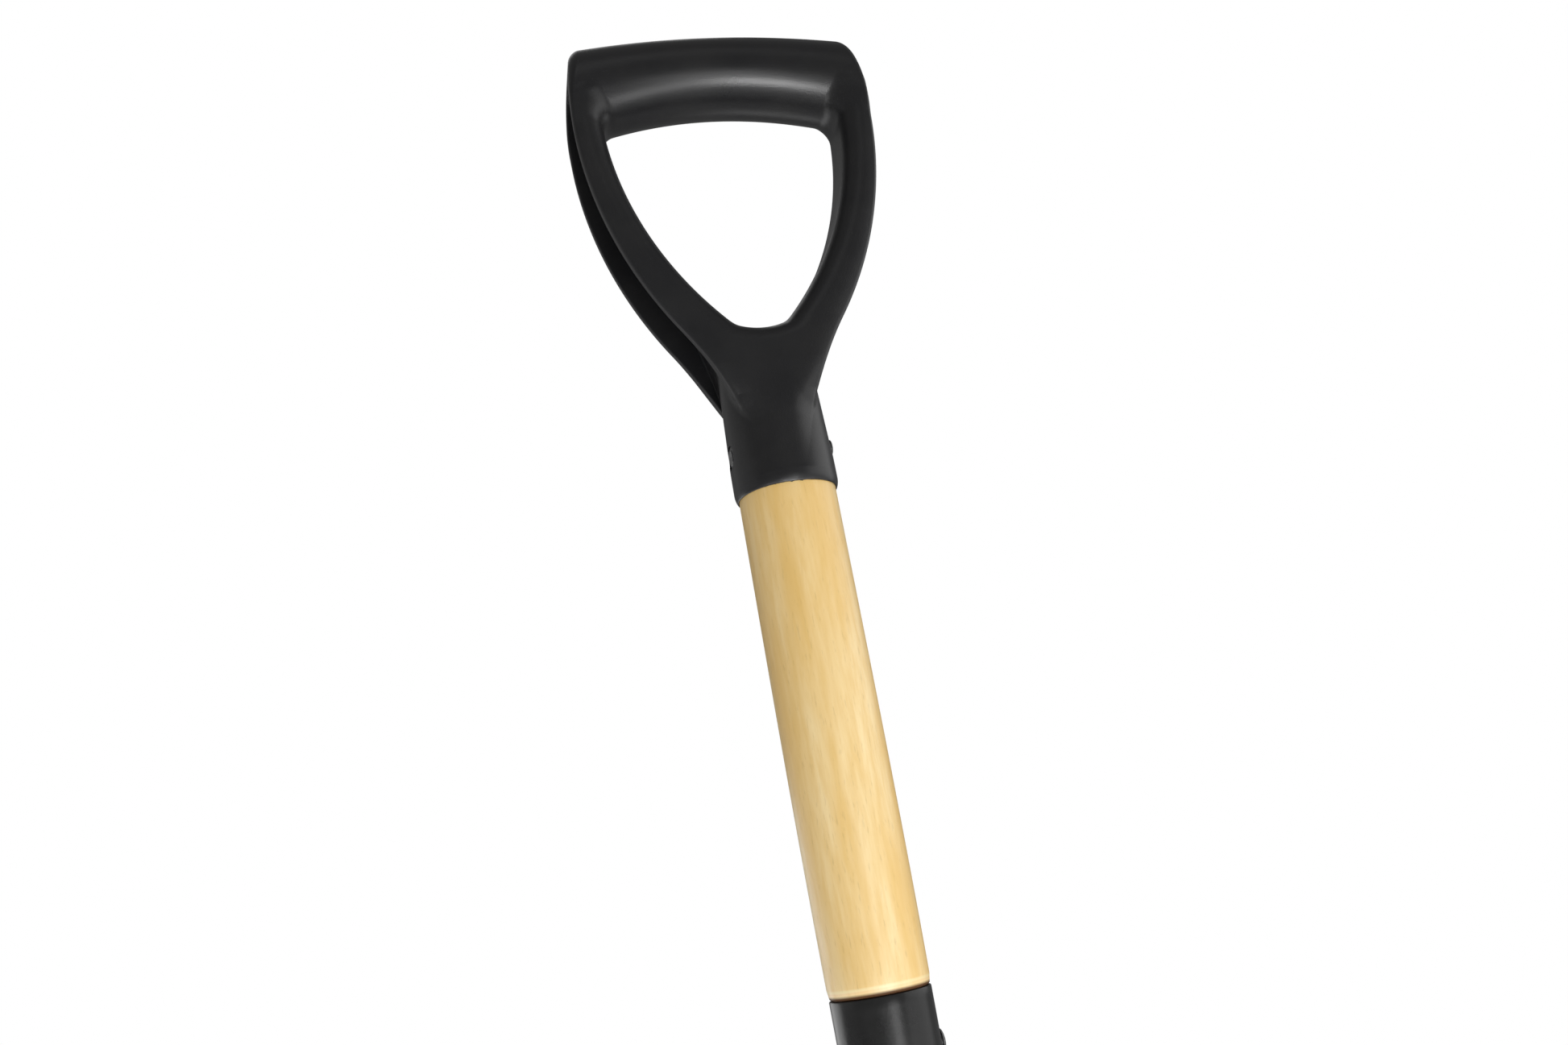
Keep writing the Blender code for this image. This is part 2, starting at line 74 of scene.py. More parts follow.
def centre_z(node):
    low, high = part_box(node)
    return (low.z + high.z) / 2


# ---- solids from distances ---------------------------------------------------------------------------
# Each shape below is a function that is negative inside the solid and grows with the distance from it.

def round_max(a, b, radius):
    """What two solids share, the edge between them rounded."""
    corner = np.hypot(np.maximum(radius + a, 0), np.maximum(radius + b, 0))
    return np.minimum(-radius, np.maximum(a, b)) + corner


def round_min(a, b, radius):
    """Two solids joined, with a fillet in the corner between them."""
    corner = np.hypot(np.maximum(radius - a, 0), np.maximum(radius - b, 0))
    return np.maximum(radius, np.minimum(a, b)) - corner


def soft_max(a, b, width):
    """What two solids share, for faces that meet at a blunt angle."""
    near = np.maximum(width - np.abs(a - b), 0) / width
    return np.maximum(a, b) + width / 4 * near ** 2


def smooth_step(start, end, value):
    """0 up to the start, 1 from the end on, with an even change between."""
    share = np.clip((value - start) / (end - start), 0, 1)
    return share * share * (3 - 2 * share)


def slope_of(distance, points, step):
    """Gradient of a distance function at each point."""
    parts = []
    for axis in range(3):
        offset = np.zeros(3)
        offset[axis] = step
        ahead = distance(*(points + offset).T)
        behind = distance(*(points - offset).T)
        parts.append((ahead - behind) / (2 * step))
    return np.stack(parts, 1)


def link_object(name, data):
    obj = bpy.data.objects.new(name, data)
    bpy.context.collection.objects.link(obj)
    return obj


def solid_from_distance(name, distance, low, high, step):
    """An object whose surface is where the distance is zero. Its points are moved onto that surface."""
    counts = [int((b - a) / step) + 2 for a, b in zip(low, high)]
    axes = [a + step * np.arange(n) for a, n in zip(low, counts)]
    values = np.empty(counts, np.float32)
    for i, x in enumerate(axes[0]):
        values[i] = distance(x, axes[1][:, None], axes[2][None, :])
    far_off = 4 * step
    grid = openvdb.FloatGrid(far_off)
    grid.copyFromArray(values)
    points, quads = grid.convertToQuads()
    points = np.array(points, float) * step + np.array(low)
    for _ in range(3):
        slope = slope_of(distance, points, step / 20)
        shift = distance(*points.T) / (slope ** 2).sum(1)
        points -= slope * np.clip(shift, -step / 2, step / 2)[:, None]
    normals = slope_of(distance, points, step / 4)
    normals /= np.linalg.norm(normals, axis=1)[:, None]
    corners = points[quads]
    facing = np.cross(corners[:, 2] - corners[:, 0], corners[:, 3] - corners[:, 1])
    if (facing * normals[quads[:, 0]]).sum() < 0:
        quads = quads[:, ::-1]
    mesh = bpy.data.meshes.new(name)
    mesh.from_pydata(points.tolist(), [], quads.tolist())
    mesh.shade_smooth()
    mesh.normals_split_custom_set_from_vertices(normals.tolist())
    return link_object(name, mesh)


# ---- D-handle ----------------------------------------------------------------------------------------
# x is across, y is depth, h is the height above the collar rim, side is the distance from the middle.

NECK_JOIN_H = 0.0675            # where the flare of the neck turns into the bow of the arm
BOW_CENTRE_X = -0.1080
BOW_CENTRE_H = 0.1632
BOW_R = 0.1700
FLARE_R = 0.1650
FLANGE_HALF_DEPTH = 0.0150
FACE_CROWN = 0.0013             # how far the face of an arm stands proud of its outer edge
CROWN_REACH = 0.0080
NECK_SPREAD = 0.060             # growth of the half depth, per metre down the neck
NECK_HALF_DEPTH = 0.0160        # at most
NECK_ROUND_H = 0.027            # up to here the neck's faces are as round as the collar
NECK_SQUARE_STEP = 0.008        # about the height in which the power of their section doubles
NECK_SQUARE_EASE = 0.6
NECK_SQUARE_H = 0.070
NECK_WIDEN_H = 0.038            # above this the faces spread sideways into the arms
NECK_WIDEN_SLOPE = 0.5
NECK_WIDEN_CURVE = 12
ARM_EDGE_R = 0.0013

OPENING_CENTRE_X = -0.0899
OPENING_CENTRE_H = 0.1664
OPENING_R = 0.1395
CROTCH_H = 0.0674
CROTCH_R = 0.0268
CROTCH_ARC = 0.47               # in radians, on each side of straight down
CROTCH_BLEND = 0.001
OPENING_EDGE_R = 0.0090

WEB_THICKNESS = 0.0038
CHANNEL_HALF_DEPTH = 0.0114
CHANNEL_TAPER = 0.10            # loss of half depth, per metre down the neck
CHANNEL_TAPER_H = 0.055
CHANNEL_FOOT = Vector((0.0160, 0.022))
CHANNEL_SHOULDER = Vector((0.0165, 0.046))
CHANNEL_BEND_H = 0.082
CHANNEL_END_H = 0.165           # from here it closes to a rounded point in the end of the grip
CHANNEL_END_LENGTH = 0.023
CHANNEL_BLEND = 0.004
CHANNEL_CORNER_R = 0.0004
CHANNEL_EDGE_R = 0.0005

GRIP_HALF_DEPTH = 0.01757
GRIP_HALF_HEIGHT = 0.01667
GRIP_SWELL = 0.0028             # how much taller the grip is at GRIP_ARCH_X
GRIP_H = 0.1803
GRIP_RISE = 0.0081
GRIP_ARCH_X = 0.055
GRIP_BACK_BOW = 0.0026
GRIP_END_R = 0.0040
ARM_TOP_DROP = 0.007            # the arms' plate is rounded over this far below the grip's axis
GRIP_FILLET_R = 0.0062          # between arm and grip, up to GRIP_FILLET_DROP below the grip's axis
GRIP_FILLET_DROP = 0.017
GRIP_FRONT_FILLET_R = 0.0040    # from GRIP_FRONT_DROP below the axis, fading just above it
GRIP_FRONT_DROP = 0.008
GRIP_FRONT_RISE = 0.002
GRIP_FRONT_FADE = 0.8
GRIP_EDGE_DROP = 0.012          # from here to GRIP_EDGE_RISE above the axis the arm's edge grows rounder
GRIP_EDGE_RISE = 0.006

COLLAR_BAND_R = 0.0203
COLLAR_BAND_H = 0.012
COLLAR_BAND_END_H = 0.020       # the band has run out here, and the sides start to taper
COLLAR_R = 0.0200
COLLAR_SIDE_TAPER = 0.030       # loss of half width, per metre up the collar
COLLAR_DEPTH_TAPER = 0.138
COLLAR_DEPTH_TAPER_H = 0.005
COLLAR_TOP_H = 0.061
COLLAR_TOP_EDGE_R = 0.006
COLLAR_FILLET_R = 0.0035        # in the middle of the neck's faces, up to COLLAR_FILLET_SIDE from it
COLLAR_FILLET_SIDE = 0.004
COLLAR_SIDE_FILLET_R = 0.0012
COLLAR_SIDE_FILLET_SIDE = 0.0145
LIP_H = 0.0018
LIP_R = 0.0194
LIP_BLEND = 0.0008
LIP_EDGE_R = 0.0003
BORE_R = 0.01905
BORE_END_R = 0.0143
BORE_H = 0.0443
RIVET_HOLE_R = 0.0028
RIVET_HOLE_START = 0.010        # from the middle, well inside the bore
SPOT_FACE_R = 0.0049
RIVET_H = centre_z("handle_rivet") - RIM_Z
SPOT_FACE_X = -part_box("handle_rivet_washer")[1].x - GAP
HANDLE_MARGIN = Vector((0.002, 0.002, 0.002))
HANDLE_STEP = 0.00045


def grip_height(side):
    return GRIP_H + GRIP_RISE * (1 - (side / GRIP_ARCH_X) ** 2)


def outer_outline(side, h):
    """Outer outline of neck and arm: an arc that flares out of the collar, then the bow."""
    join = math.asin((NECK_JOIN_H - BOW_CENTRE_H) / BOW_R)
    across, up = math.cos(join), math.sin(join)
    flare_x = BOW_CENTRE_X + (BOW_R + FLARE_R) * across
    flare_h = BOW_CENTRE_H + (BOW_R + FLARE_R) * up
    bow = np.hypot(side - BOW_CENTRE_X, h - BOW_CENTRE_H) - BOW_R
    flare = FLARE_R - np.hypot(side - flare_x, h - flare_h)
    above = (h - flare_h) * across - (side - flare_x) * up
    return np.where(above > 0, bow, flare)


def opening_outline(side, h):
    """Outline of the hand opening. It runs on up through the grip, which closes it."""
    lens = np.hypot(side - OPENING_CENTRE_X, h - OPENING_CENTRE_H) - OPENING_R
    drop = h - CROTCH_H - CROTCH_R
    across, down = math.sin(CROTCH_ARC), math.cos(CROTCH_ARC)
    on_arc = side * down < -drop * across
    bowl = np.where(on_arc, np.hypot(side, drop), side * across - drop * down) - CROTCH_R
    return soft_max(lens, bowl, CROTCH_BLEND)


def collar_size(h):
    """Half width and half depth of the collar, which has a slightly thicker band at its rim."""
    band = (COLLAR_BAND_R - COLLAR_R) * (1 - smooth_step(COLLAR_BAND_H, COLLAR_BAND_END_H, h))
    half_x = COLLAR_R + band - COLLAR_SIDE_TAPER * np.maximum(h - COLLAR_BAND_END_H, 0)
    return half_x, COLLAR_BAND_R - COLLAR_DEPTH_TAPER * np.maximum(h - COLLAR_DEPTH_TAPER_H, 0)


def face_depth(side, h, outside):
    """Half depth of neck and arms: crowned along the arms, turning round like the collar down the neck."""
    depth = np.minimum(FLANGE_HALF_DEPTH + NECK_SPREAD * np.maximum(NECK_JOIN_H - h, 0), NECK_HALF_DEPTH)
    depth = depth + FACE_CROWN * (1 - np.clip(1 + outside / CROWN_REACH, 0, 1) ** 2)
    steps = (np.clip(h, NECK_ROUND_H, NECK_SQUARE_H) - NECK_ROUND_H) / NECK_SQUARE_STEP
    power = 2 ** (1 + steps ** 2 / (steps + NECK_SQUARE_EASE))
    wider = np.maximum(h - NECK_WIDEN_H, 0)
    half_x = COLLAR_R + NECK_WIDEN_SLOPE * wider + NECK_WIDEN_CURVE * wider ** 2
    share = np.minimum(side / half_x, 1)
    return depth * (1 - share ** power) ** (1 / power)


def oval(x, y, half_x, half_y):
    """Distance from an ellipse, close to exact near it."""
    scaled = np.hypot(x / half_x, y / half_y)
    steep = np.hypot(x / half_x ** 2, y / half_y ** 2) + 1e-9
    return scaled * (scaled - 1) / steep


def grip_bar(side, y, h):
    """The arched bar, oval across, running past the arms on both sides."""
    share = side / GRIP_ARCH_X
    back = GRIP_BACK_BOW * (1 - share ** 2)
    lean = 2 * GRIP_RISE * share / GRIP_ARCH_X
    skin = oval(y - back, h - grip_height(side), GRIP_HALF_DEPTH, GRIP_HALF_HEIGHT + GRIP_SWELL * share ** 2)
    return skin / np.sqrt(1 + lean ** 2)


def arm_plate(side, y, h, outside):
    """Neck and arms as one plate with the hand opening. Its top is rounded over inside the grip."""
    over = np.maximum(h - grip_height(side) + ARM_TOP_DROP, 0)
    face = np.hypot(y, over) - face_depth(side, h, outside)
    return round_max(face, -opening_outline(side, h), OPENING_EDGE_R)


def half_plane(side, h, start, end):
    """Distance to the right of the line from start up to end, negative on the right."""
    along = (end - start).normalized()
    return (h - start.y) * along.x - (side - start.x) * along.y


def side_channel(side, y, h):
    """The open channel between the flanges of each arm, up into the end of the grip."""
    web_r = OPENING_R + WEB_THICKNESS
    reach = math.sqrt(web_r ** 2 - (CHANNEL_BEND_H - OPENING_CENTRE_H) ** 2)
    bend = Vector((OPENING_CENTRE_X + reach, CHANNEL_BEND_H))
    web = web_r - np.hypot(side - OPENING_CENTRE_X, h - OPENING_CENTRE_H)
    wall = soft_max(web, half_plane(side, h, CHANNEL_SHOULDER, bend), CHANNEL_BLEND)
    wall = soft_max(wall, half_plane(side, h, CHANNEL_FOOT, CHANNEL_SHOULDER), CHANNEL_BLEND)
    half_depth = CHANNEL_HALF_DEPTH - CHANNEL_TAPER * np.maximum(CHANNEL_TAPER_H - h, 0)
    closing = CHANNEL_HALF_DEPTH / CHANNEL_END_LENGTH * np.maximum(h - CHANNEL_END_H, 0)
    across = np.hypot(y, closing) - half_depth
    return np.maximum(round_max(wall, across, CHANNEL_CORNER_R), CHANNEL_FOOT.y - h)


def frame_and_grip(side, y, h):
    """Arms and bar joined, both cut to the outer outline, with the channels taken out."""
    outside = outer_outline(side, h)
    above = h - grip_height(side)
    bar = grip_bar(side, y, h)
    fade = GRIP_FRONT_FADE * smooth_step(-GRIP_FRONT_DROP, GRIP_FRONT_RISE, above)
    front = GRIP_FRONT_FILLET_R * (1 - fade)
    low_share = 1 - smooth_step(-GRIP_FILLET_DROP, -GRIP_FRONT_DROP, above)
    fillet = front + (GRIP_FILLET_R - GRIP_FRONT_FILLET_R) * low_share
    body = round_min(arm_plate(side, y, h, outside), bar, fillet)
    edge = ARM_EDGE_R + (GRIP_END_R - ARM_EDGE_R) * smooth_step(-GRIP_EDGE_DROP, GRIP_EDGE_RISE, above)
    body = round_max(body, outside, edge)
    return round_max(body, -side_channel(side, y, h), CHANNEL_EDGE_R)


def collar(x, y, h):
    """An oval cone that ends inside the neck, with a bevelled lip at the rim."""
    half_x, half_y = collar_size(h)
    skin = oval(x, y, half_x, half_y)
    lean = math.hypot(LIP_H, COLLAR_BAND_R - LIP_R)
    lip = ((np.hypot(x, y) - LIP_R) * LIP_H - h * (COLLAR_BAND_R - LIP_R)) / lean
    body = round_max(soft_max(skin, lip, LIP_BLEND), -h, LIP_EDGE_R)
    return round_max(body, h - COLLAR_TOP_H, COLLAR_TOP_EDGE_R)


def collar_bore(x, y, h):
    """The tapered hole that the shaft's tenon fills."""
    cone = np.hypot(x, y) - BORE_R + (BORE_R - BORE_END_R) * h / BORE_H
    return np.maximum(cone, h - BORE_H)


def handle_distance(x, y, z):
    """The whole handle, with the bore, the washer's recess and the rivet's holes taken out."""
    h = z - RIM_Z
    side = np.abs(x)
    side_share = smooth_step(COLLAR_FILLET_SIDE, COLLAR_SIDE_FILLET_SIDE, side)
    fillet = COLLAR_FILLET_R + (COLLAR_SIDE_FILLET_R - COLLAR_FILLET_R) * side_share
    body = round_min(frame_and_grip(side, y, h), collar(x, y, h), fillet)
    body = np.maximum(body, -collar_bore(x, y, h))
    from_rivet = np.hypot(y, h - RIVET_H)
    body = np.maximum(body, -np.maximum(from_rivet - SPOT_FACE_R, x + SPOT_FACE_X))
    hole = np.maximum(from_rivet - RIVET_HOLE_R, RIVET_HOLE_START - side)
    return np.maximum(body, -hole)


def build_handle(material):
    low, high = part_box("d_handle")
    low, high = low - HANDLE_MARGIN, high + HANDLE_MARGIN
    handle = solid_from_distance("handle", handle_distance, low, high, HANDLE_STEP)
    return finish_piece(handle, material, "d_handle")


# ---- lathe and loft ----------------------------------------------------------------------------------

def finish_piece(obj, material, node):
    """Give a piece its material and its place in the frame, where it stands for one CAD node."""
    obj.data.materials.clear()
    obj.data.materials.append(material)
    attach(obj, "root")
    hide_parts(node)
    return obj


def smooth_mesh(name, bm, sharp_angle):
    mesh = bpy.data.meshes.new(name)
    bm.to_mesh(mesh)
    bm.free()
    mesh.shade_smooth()
    mesh.set_sharp_from_angle(angle=math.radians(sharp_angle))
    return mesh


def round_edges(obj, width, segments, sharp_angle):
    bevel = obj.modifiers.new("edge round", "BEVEL")
    bevel.width = width
    bevel.segments = segments
    bevel.limit_method = "ANGLE"
    bevel.angle_limit = math.radians(sharp_angle)


def object_from_rings(name, rings, sharp_angle):
    """Skin a list of closed rings and cap both ends."""
    bm = bmesh.new()
    loops = [[bm.verts.new(point) for point in ring] for ring in rings]
    for lower, upper in zip(loops, loops[1:]):
        for i in range(len(lower)):
            j = (i + 1) % len(lower)
            bm.faces.new((lower[i], lower[j], upper[j], upper[i]))
    bm.faces.new(loops[0])
    bm.faces.new(loops[-1])
    bmesh.ops.recalc_face_normals(bm, faces=bm.faces)
    return link_object(name, smooth_mesh(name, bm, sharp_angle))


def ring_xy(z, half_x, half_y, mid_y=0.0, power=2.0, steps=96):
    """A level ring: an ellipse for power 2, closer to a rounded bar for a higher power."""
    points = []
    for i in range(steps):
        angle = 2 * math.pi * i / steps
        c, s = math.cos(angle), math.sin(angle)
        x = half_x * math.copysign(abs(c) ** (2 / power), c)
        y = half_y * math.copysign(abs(s) ** (2 / power), s)
        points.append(Vector((x, mid_y + y, z)))
    return points


# ---- shaft -------------------------------------------------------------------------------------------

SHAFT_R = 0.01885
SHAFT_MID_R = 0.01905
SHAFT_LOW_R = 0.01835
SHOULDER_R = 0.01785            # the reduced ring just above the socket
SHOULDER_H = 0.0028
SHOULDER_EDGE = 0.0004
SHOULDER_SLOPE_H = 0.0006
TAPER_INSET = 0.0015            # from the socket's outer face to the wood inside it
TAPER_END_BEVEL = (0.002, 0.004)
TENON_H = 0.044
TENON_END_R = 0.0140
TENON_END_BEVEL = (0.0006, 0.0002)


def shaft_radius(share):
    """Radius of the bare shaft, share 0 at the socket and 1 at the collar: slightly full in the middle."""
    low = SHAFT_LOW_R + (SHAFT_R - SHAFT_LOW_R) * share
    return low + (SHAFT_MID_R - (SHAFT_LOW_R + SHAFT_R) / 2) * math.sin(math.pi * share ** 0.8)


def build_shaft(material):
    """Taper in the socket, softened shoulder, bare shaft, taper in the collar."""
    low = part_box("shaft")[0].z
    low_r = socket_radius(low) - TAPER_INSET
    profile = [(low_r - TAPER_END_BEVEL[0], low), (low_r, low + TAPER_END_BEVEL[1])]
    foot = SOCKET_RIM_Z + GAP
    profile += [(SOCKET_RIM_R - TAPER_INSET, foot), (SHOULDER_R - SHOULDER_EDGE, foot)]
    profile += [(SHOULDER_R, foot + SHOULDER_EDGE), (SHAFT_LOW_R - 0.0001, foot + SHOULDER_H)]
    start = foot + SHOULDER_H + SHOULDER_SLOPE_H
    rings = 40
    for i in range(rings + 1):
        share = i / rings
        profile.append((shaft_radius(share), start + (RIM_Z - start) * share))
    top = RIM_Z + TENON_H
    profile += [(TENON_END_R, top - TENON_END_BEVEL[1]), (TENON_END_R - TENON_END_BEVEL[0], top)]
    shaft = object_from_rings("shaft_wood", [ring_xy(z, r, r, steps=128) for r, z in profile], 30)
    return finish_piece(shaft, material, "shaft")


# ---- socket ------------------------------------------------------------------------------------------

SOCKET_RIM_R = 0.0182
SOCKET_WALL = 0.0012
SOCKET_ROUND_FOOT_Z = 0.345
SOCKET_ROUND_FOOT_R = 0.0155
SOCKET_BORE_END_Z = 0.340
SOCKET_EDGE = 0.0005
TONGUE_HALF_WIDTH = 0.0210
TONGUE_THICKNESS = 0.0045
TONGUE_TOP_Z = BLADE_TOP_Z + 0.003
TONGUE_TIP_LENGTH = 0.040
TONGUE_POWER = 3.5              # its section is a bar with round edges, the tube's is a circle (power 2)


def socket_radius(z):
    """Outer radius of the round part."""
    share = (SOCKET_RIM_Z - z) / (SOCKET_RIM_Z - SOCKET_ROUND_FOOT_Z)
    return SOCKET_RIM_R + (SOCKET_ROUND_FOOT_R - SOCKET_RIM_R) * share


def tongue_rings():
    """The flat tongue on the blade: its rounded tip, then the straight part."""
    rings = []
    tip_rings = 12
    for i in range(tip_rings + 1):
        share = i / tip_rings
        z = TONGUE_TIP_Z + TONGUE_TIP_LENGTH * (1 - math.cos(share * math.pi / 2))
        half_x = TONGUE_HALF_WIDTH * math.sqrt(max(0.0, 1 - (1 - share) ** 2) * 0.92 + 0.08)
        thickness = TONGUE_THICKNESS * (0.62 + 0.38 * math.sin(share * math.pi / 2))
        back = blade_front_y(0.0, z) - GAP
        rings.append(ring_xy(z, half_x, thickness / 2, back - thickness / 2, TONGUE_POWER))
    half_y = TONGUE_THICKNESS / 2
    back = blade_front_y(0.0, TONGUE_TOP_Z) - GAP
    rings.append(ring_xy(TONGUE_TOP_Z, TONGUE_HALF_WIDTH, half_y, back - half_y, TONGUE_POWER))
    return rings


def build_socket(material):
    """The tube, open at the rim, flattened at its foot."""
    rings = tongue_rings()
    rise = SOCKET_ROUND_FOOT_Z - TONGUE_TOP_Z
    flat_back = blade_front_y(0.0, BLADE_TOP_Z) - GAP
    foot_rings = 16
    for i in range(1, foot_rings + 1):
        share = i / foot_rings
        ease = smooth_step(0, 1, share)
        z = TONGUE_TOP_Z + rise * share
        half_x = TONGUE_HALF_WIDTH + (SOCKET_ROUND_FOOT_R - TONGUE_HALF_WIDTH) * ease
        back = flat_back + (SOCKET_ROUND_FOOT_R - flat_back) * ease
        front = flat_back - TONGUE_THICKNESS
        front += (-SOCKET_ROUND_FOOT_R - front) * math.sin(share * math.pi / 2)
        power = TONGUE_POWER - (TONGUE_POWER - 2) * ease
        rings.append(ring_xy(z, half_x, (back - front) / 2, (back + front) / 2, power))
    edge = SOCKET_EDGE
    for lift, inset in ((-0.004, 0.0), (-edge, 0.0), (-0.3 * edge, 0.3 * edge), (0.0, edge)):
        radius = socket_radius(SOCKET_RIM_Z + lift) - inset
        rings.append(ring_xy(SOCKET_RIM_Z + lift, radius, radius))
    for z, inset in ((SOCKET_RIM_Z, -0.2 * edge), (SOCKET_RIM_Z - edge, 0.0), (SOCKET_BORE_END_Z, 0.0)):
        radius = socket_radius(z) - SOCKET_WALL - inset
        rings.append(ring_xy(z, radius, radius))
    socket = object_from_rings("socket_tube", rings, 40)
    return finish_piece(socket, material, "socket")


# ---- blade and treads --------------------------------------------------------------------------------

BLADE_TOP_HALF_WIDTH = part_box("blade")[1].x
BLADE_EDGE_HALF_WIDTH = 0.083
BLADE_CORNER_R = 0.012
BLADE_THICKNESS = 0.0020
BLADE_GROUND_H = 0.012          # height of the ground bevel, which thins the sheet to a share of it
BLADE_EDGE_SHARE = 0.35
BLADE_FRONT_Y = 0.0022
BLADE_LIFT = 0.0080
BLADE_DISH = 0.0060
BLADE_FLAT_HALF_WIDTH = 0.026
TREAD_CORNER_R = 0.004


def blade_front_y(x, z):
    """The front face: dished to the sides, and further forward towards the cutting edge."""
    lift = BLADE_LIFT * (1 - z / BLADE_TOP_Z) ** 2
    side = max(0.0, abs(x) - BLADE_FLAT_HALF_WIDTH) / (BLADE_TOP_HALF_WIDTH - BLADE_FLAT_HALF_WIDTH)
    return BLADE_FRONT_Y - lift - BLADE_DISH * side ** 2


def blade_half_width(z):
    width = BLADE_EDGE_HALF_WIDTH + (BLADE_TOP_HALF_WIDTH - BLADE_EDGE_HALF_WIDTH) * z / BLADE_TOP_Z
    if z >= BLADE_CORNER_R:
        return width
    return width - BLADE_CORNER_R + math.sqrt(BLADE_CORNER_R ** 2 - (BLADE_CORNER_R - z) ** 2)


def build_blade(material):
    """A pressed sheet, made of rings round its front and back."""
    columns = 60
    rows = 60
    corner_rows = 10
    corner = [BLADE_CORNER_R * (1 - math.cos(math.pi / 2 * i / corner_rows)) for i in range(corner_rows)]
    heights = corner + [BLADE_CORNER_R + (BLADE_TOP_Z - BLADE_CORNER_R) * i / rows for i in range(rows + 1)]
    rings = []
    for z in heights:
        half = blade_half_width(z)
        thickness = BLADE_THICKNESS * min(1.0, BLADE_EDGE_SHARE + z / BLADE_GROUND_H)
        front = [Vector((half * (2 * i / columns - 1), 0, z)) for i in range(columns + 1)]
        for point in front:
            point.y = blade_front_y(point.x, z)
        back = [point + Vector((0, thickness, 0)) for point in reversed(front)]
        rings.append(front + back)
    blade = object_from_rings("blade_plate", rings, 50)
    round_edges(blade, 0.0004, 2, 50)
    return finish_piece(blade, material, "blade")


def build_tread(node, material):
    """A flat bar on the shoulder of the blade, its corners and edges rounded."""
    low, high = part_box(node)
    bm = bmesh.new()
    bmesh.ops.create_cube(bm, size=1.0)
    for vert in bm.verts:
        share = vert.co + Vector((0.5, 0.5, 0.5))
        vert.co = Vector(a + (b - a) * s for a, b, s in zip(low, high, share))
    thickness = high.z - low.z
    upright = [e for e in bm.edges if abs(e.verts[0].co.z - e.verts[1].co.z) > thickness / 2]
    bmesh.ops.bevel(bm, geom=upright, offset=TREAD_CORNER_R, segments=8, profile=0.5, affect="EDGES")
    name = f"{node}_bar"
    tread = link_object(name, smooth_mesh(name, bm, 40))
    round_edges(tread, 0.0006, 3, 30)
    return finish_piece(tread, material, node)


# ---- rivets ------------------------------------------------------------------------------------------

RIVET_PIN_R = 0.0025
HANDLE_RIVET_HEAD = (0.0032, 0.0008)        # radius and height
SOCKET_RIVET_HEAD = (0.0042, 0.0012)
WASHER_EDGE = 0.00012


def ring_yz(x, radius, mid_z):
    """A ring across the X axis."""
    steps = 48
    angles = [2 * math.pi * i / steps for i in range(steps)]
    return [Vector((x, radius * math.cos(a), mid_z + radius * math.sin(a))) for a in angles]


def dome(seat, tip, radius):
    """Sections of a rivet's head, as (x, radius) from its seat outwards."""
    steps = 8
    angles = [math.pi / 2 * i / steps for i in range(steps)]
    return [(seat + (tip - seat) * math.sin(a), radius * math.cos(a) ** 0.6) for a in angles]


def build_rivet(node, seat_left, seat_right, head_r, material):
    """A rivet along X with a domed head at each end, as far out as the CAD node."""
    low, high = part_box(node)
    left = dome(seat_left, low.x, head_r)[::-1]
    right = dome(seat_right, high.x, head_r)
    sections = left + [(seat_left, RIVET_PIN_R), (seat_right, RIVET_PIN_R)] + right
    rings = [ring_yz(x, radius, centre_z(node)) for x, radius in sections]
    rivet = object_from_rings(f"{node}_body", rings, 50)
    return finish_piece(rivet, material, node)


def build_handle_rivet(material):
    """Its right head sits on the collar, its left end is peened over the washer."""
    head_r, head_height = HANDLE_RIVET_HEAD
    seat_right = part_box("handle_rivet")[1].x - head_height
    seat_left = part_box("handle_rivet_washer")[0].x - GAP
    build_rivet("handle_rivet", seat_left, seat_right, head_r, material)


def build_socket_rivet(node, material):
    head_r, head_height = SOCKET_RIVET_HEAD
    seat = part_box(node)[1].x - head_height
    build_rivet(node, -seat, seat, head_r, material)


def build_washer(material):
    """A flat ring in the recess of the collar, its outer edges broken."""
    node = "handle_rivet_washer"
    low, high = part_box(node)
    radius = (high.z - low.z) / 2
    edge = WASHER_EDGE
    sections = ((high.x, RIVET_HOLE_R), (high.x, radius - edge), (high.x - edge, radius),
                (low.x + edge, radius), (low.x, radius - edge), (low.x, RIVET_HOLE_R))
    bm = bmesh.new()
    loops = []
    for x, r in sections:
        loops.append([bm.verts.new(point) for point in ring_yz(x, r, centre_z(node))])
    for a, b in zip(loops, loops[1:] + loops[:1]):
        for i in range(len(a)):
            j = (i + 1) % len(a)
            bm.faces.new((a[i], a[j], b[j], b[i]))
    bmesh.ops.recalc_face_normals(bm, faces=bm.faces)
    washer = link_object("rivet_washer", smooth_mesh("rivet_washer", bm, 30))
    return finish_piece(washer, material, node)


# ---- materials ---------------------------------------------------------------------------------------

